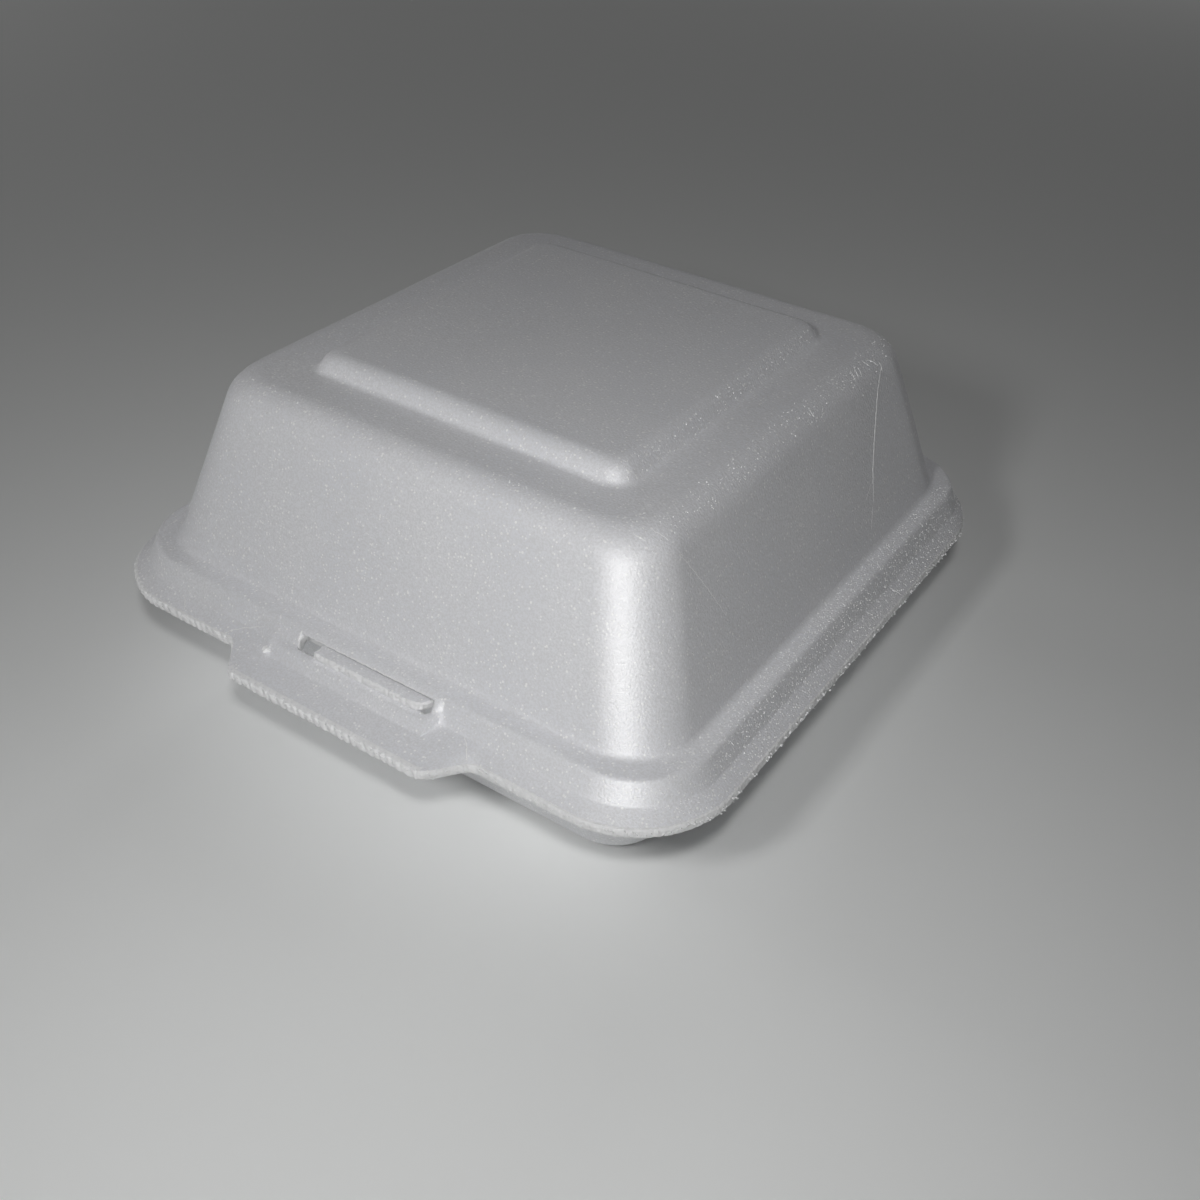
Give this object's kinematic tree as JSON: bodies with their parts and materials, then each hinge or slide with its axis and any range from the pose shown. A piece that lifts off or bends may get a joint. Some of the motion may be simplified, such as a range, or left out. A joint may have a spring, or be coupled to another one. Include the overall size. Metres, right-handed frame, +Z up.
{
  "type": "hinged foam clamshell container",
  "caption": "White foam clamshell food container: a shallow tapered base and a tall tapered lid with a raised panel, hinged at the back, with a tongue-and-slot latch and finger tab in front.",
  "frame": {"origin": "on the table under the middle of the rim's outline, in the plane of the base's flat foot", "axes": "+Z up, -Y towards the latch and finger tab, +Y towards the hinge, +X to the right seen from the front"},
  "size_m": [0.15, 0.1627, 0.0797],
  "materials": {
    "foam": "satin skin of white polystyrene foam sheet, fine cells at the cut edges"
  },
  "bodies": {
    "base": {"base_tray": "foam"},
    "lid": {"lid": "foam"}
  },
  "joints": [
    {"name": "lid_hinge", "type": "hinge", "parent": "base", "child": "lid", "pos_m": [0, 0.077, 0.029], "axis": [-1, 0, 0], "range_deg": [0, 150]}
  ]
}
